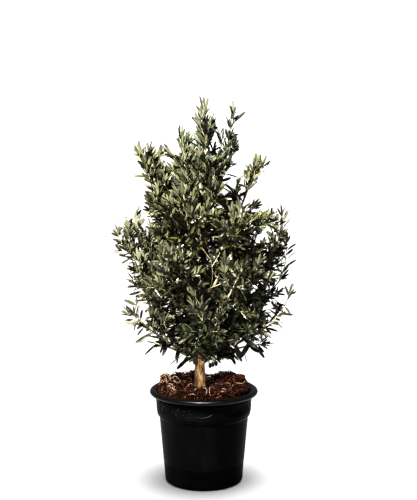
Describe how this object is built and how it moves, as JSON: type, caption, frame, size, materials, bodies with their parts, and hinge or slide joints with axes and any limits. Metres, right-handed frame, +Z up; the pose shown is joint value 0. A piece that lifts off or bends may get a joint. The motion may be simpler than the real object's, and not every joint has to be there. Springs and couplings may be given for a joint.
{
  "type": "potted olive tree",
  "caption": "Bushy young olive tree on a short bare stem, with narrow grey-green leaves, standing in a round black plastic nursery pot filled with bark compost.",
  "frame": {"origin": "centre of the pot's flat underside", "axes": "+Z up along the pot's axis, -Y towards the side that the picture shows, +X to its right"},
  "size_m": [0.5174, 0.5035, 1.0545],
  "materials": {
    "pot": "satin",
    "soil": "rough",
    "bark": "rough",
    "foliage": "satin"
  },
  "bodies": {
    "root": {"pot": "pot", "soil": "soil", "trunk": "bark", "bough_middle_left": "bark", "bough_middle_right": "bark", "bough_middle_front_left": "bark", "bough_middle_front_right": "bark", "bough_middle_back_left": "bark", "bough_middle_back_right": "bark", "bough_low_left_back": "bark", "bough_low_left_front": "bark", "bough_low_front": "bark", "bough_low_right_front": "bark", "bough_low_right_back": "bark", "bough_low_back": "bark", "foliage_crest": "foliage", "foliage_crest_right": "foliage", "foliage_crest_left": "foliage", "foliage_crest_back": "foliage", "foliage_crest_front": "foliage", "foliage_shoulder_left": "foliage", "foliage_shoulder_right": "foliage", "foliage_shoulder_back": "foliage", "foliage_shoulder_front": "foliage", "foliage_high_right_front": "foliage", "foliage_high_back": "foliage", "foliage_middle_left": "foliage", "foliage_middle_right": "foliage", "foliage_middle_front_left": "foliage", "foliage_middle_front_right": "foliage", "foliage_middle_back_left": "foliage", "foliage_middle_back_right": "foliage", "foliage_low_left_back": "foliage", "foliage_low_left_front": "foliage", "foliage_low_front": "foliage", "foliage_low_right_front": "foliage", "foliage_low_right_back": "foliage", "foliage_low_back": "foliage", "foliage_skirt_left": "foliage", "foliage_skirt_right": "foliage", "foliage_skirt_front": "foliage", "foliage_inner_front": "foliage", "foliage_inner_left": "foliage", "foliage_inner_right": "foliage", "foliage_skirt_back": "foliage"}
  },
  "joints": []
}
